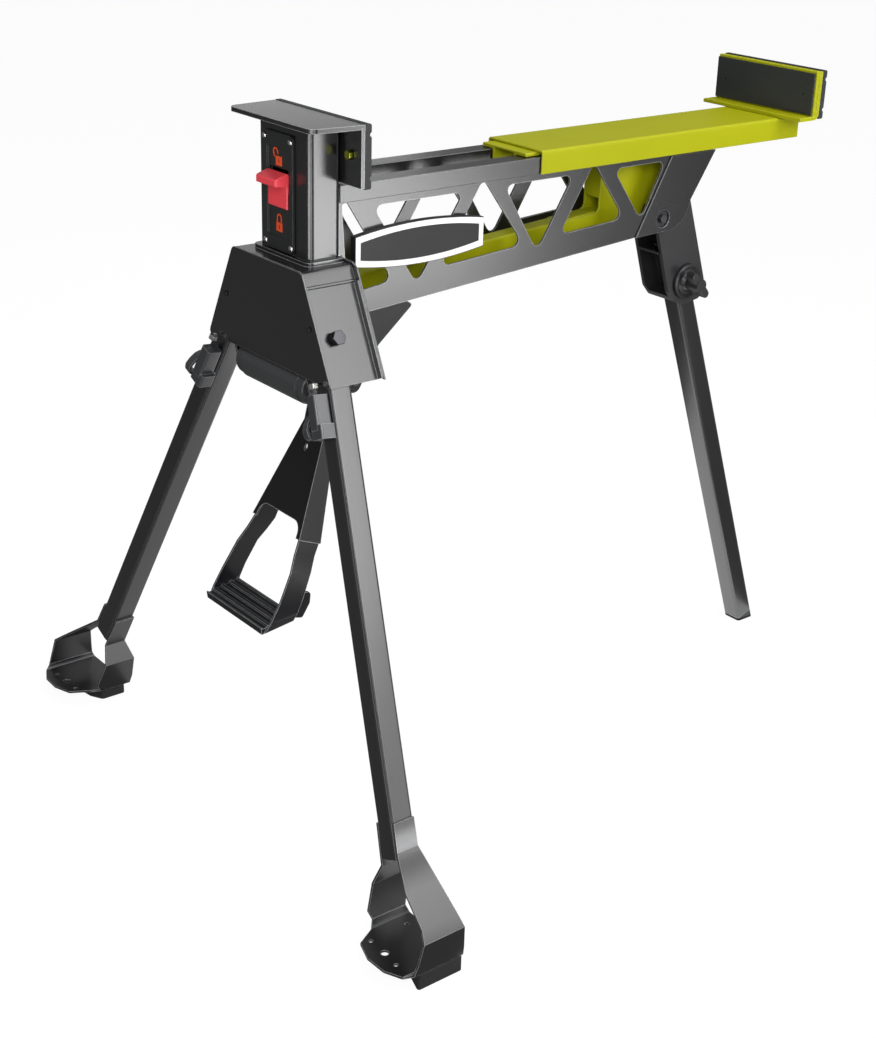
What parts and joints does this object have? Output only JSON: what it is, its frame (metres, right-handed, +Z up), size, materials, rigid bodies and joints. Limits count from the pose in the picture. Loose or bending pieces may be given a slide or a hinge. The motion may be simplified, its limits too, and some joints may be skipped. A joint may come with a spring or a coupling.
{
  "type": "portable clamping work stand",
  "caption": "Folding clamping work stand: a truss beam on three splayed tube legs carries a fixed jaw column and a sliding jaw closed by a foot pedal.",
  "frame": {"origin": "on the ground under the middle of the stand's box, legs unfolded", "axes": "+X along the beam from the fixed jaw towards the sliding jaw, +Y towards the far front leg, +Z up"},
  "size_m": [1.0148, 0.8672, 0.864],
  "materials": {
    "black_paint": "satin powder coat",
    "green_paint": "satin powder coat",
    "rubber": "matt",
    "zinc": "zinc plated",
    "red_plastic": "gloss",
    "black_plastic": "fine grain",
    "casting": "tumbled grey casting",
    "bare_badge": "bare plate"
  },
  "bodies": {
    "frame": {"badge_plate": "bare_badge", "beam_end_plate_far": "black_paint", "beam_end_plate_near": "black_paint", "beam_rail_far": "black_paint", "beam_rail_near": "black_paint", "beam_side_far": "black_paint", "beam_side_near": "black_paint", "fixed_jaw_pad": "rubber", "fixed_jaw_plate": "black_paint", "fixed_jaw_screw_far": "zinc", "fixed_jaw_screw_near": "zinc", "front_plate_screw_far": "zinc", "front_plate_screw_near": "zinc", "head_front_plate": "black_paint", "head_lid": "black_paint", "head_rear_frame": "black_paint", "head_side_panel_far": "black_paint", "head_side_panel_near": "black_paint", "jaw_column": "black_paint", "leg_pivot_bolt_far": "zinc", "leg_pivot_bolt_near": "zinc", "pedal_axle": "zinc", "pedal_bearer": "black_paint", "plate_screw_1": "zinc", "plate_screw_2": "zinc", "plate_screw_3": "zinc", "plate_screw_4": "zinc", "rear_pivot_bolt_far": "zinc", "rear_pivot_bolt_near": "zinc", "roller_bracket": "black_paint", "switch_plate": "black_plastic"},
    "sliding_jaw": {"slide_channel": "green_paint", "slide_guide": "green_paint", "jaw_riser": "green_paint", "sliding_jaw_bracket": "green_paint", "sliding_jaw_pad_front": "rubber", "sliding_jaw_pad_rear": "rubber", "sliding_jaw_screw_far": "zinc", "sliding_jaw_screw_near": "zinc"},
    "clamp_drive": {"drive_bar": "green_paint", "clutch_plate": "zinc"},
    "pedal": {"foot_pedal": "black_paint", "pedal_spring": "zinc"},
    "switch": {"lock_switch": "red_plastic"},
    "near_leg": {"front_leg_near": "black_paint", "foot_strap_near": "black_paint", "foot_sole_near": "rubber", "leg_lock_body_near": "casting"},
    "near_lock": {"leg_lock_catch_near": "casting"},
    "far_leg": {"front_leg_far": "black_paint", "foot_strap_far": "black_paint", "foot_sole_far": "rubber", "leg_lock_body_far": "casting"},
    "far_lock": {"leg_lock_catch_far": "casting"},
    "rear_leg_unit": {"rear_leg_bracket": "black_plastic", "rear_leg": "black_paint", "rear_foot_cap": "rubber"},
    "rear_knob": {"rear_leg_knob": "black_plastic"},
    "roller": {"transport_roller": "black_plastic"}
  },
  "joints": [
    {"name": "jaw_slide", "type": "slide", "parent": "frame", "child": "sliding_jaw", "axis": [1, 0, 0], "range_m": [-0.26, 0.21]},
    {"name": "pedal_hinge", "type": "hinge", "parent": "frame", "child": "pedal", "pos_m": [-0.2924, 0, 0.555], "axis": [0, -1, 0], "range_deg": [0, 14], "stiffness_Nm_per_rad": 6, "springref_deg": -34.38},
    {"name": "clamp_stroke", "type": "slide", "parent": "frame", "child": "clamp_drive", "axis": [-1, 0, 0], "range_m": [0, 0.021]},
    {"name": "lock_switch_turn", "type": "hinge", "parent": "frame", "child": "switch", "pos_m": [-0.3554, 0.0065, 0.784], "axis": [0, 1, 0], "range_deg": [0, 15]},
    {"name": "rear_leg_fold", "type": "hinge", "parent": "frame", "child": "rear_leg_unit", "pos_m": [0.1986, 0, 0.686], "axis": [0, 1, 0], "range_deg": [0, 72]},
    {"name": "rear_knob_turn", "type": "hinge", "parent": "rear_leg_unit", "child": "rear_knob", "pos_m": [0.2776, 0, 0.5845], "axis": [0, 1, 0], "range_deg": [0, 90]},
    {"name": "roller_spin", "type": "hinge", "parent": "frame", "child": "roller", "pos_m": [-0.3664, 0, 0.566], "axis": [0, 1, 0], "continuous": true},
    {"name": "near_leg_fold", "type": "hinge", "parent": "frame", "child": "near_leg", "pos_m": [-0.3634, -0.087, 0.626], "axis": [0, -0.9026, 0.4305], "range_deg": [0, 85]},
    {"name": "near_lock_press", "type": "hinge", "parent": "near_leg", "child": "near_lock", "pos_m": [-0.39847, -0.11235, 0.55473], "axis": [0, 0.9026, -0.4305], "range_deg": [0, 12], "stiffness_Nm_per_rad": 0.05, "springref_deg": -22.92},
    {"name": "far_leg_fold", "type": "hinge", "parent": "frame", "child": "far_leg", "pos_m": [-0.3634, 0.087, 0.626], "axis": [0, -0.9026, -0.4305], "range_deg": [0, 85]},
    {"name": "far_lock_press", "type": "hinge", "parent": "far_leg", "child": "far_lock", "pos_m": [-0.39847, 0.12643, 0.56145], "axis": [0, 0.9026, 0.4305], "range_deg": [0, 12], "stiffness_Nm_per_rad": 0.05, "springref_deg": -22.92}
  ],
  "couplings": [
    {"joint": "clamp_stroke", "follows": "pedal_hinge", "m_per_rad": 0.082}
  ]
}
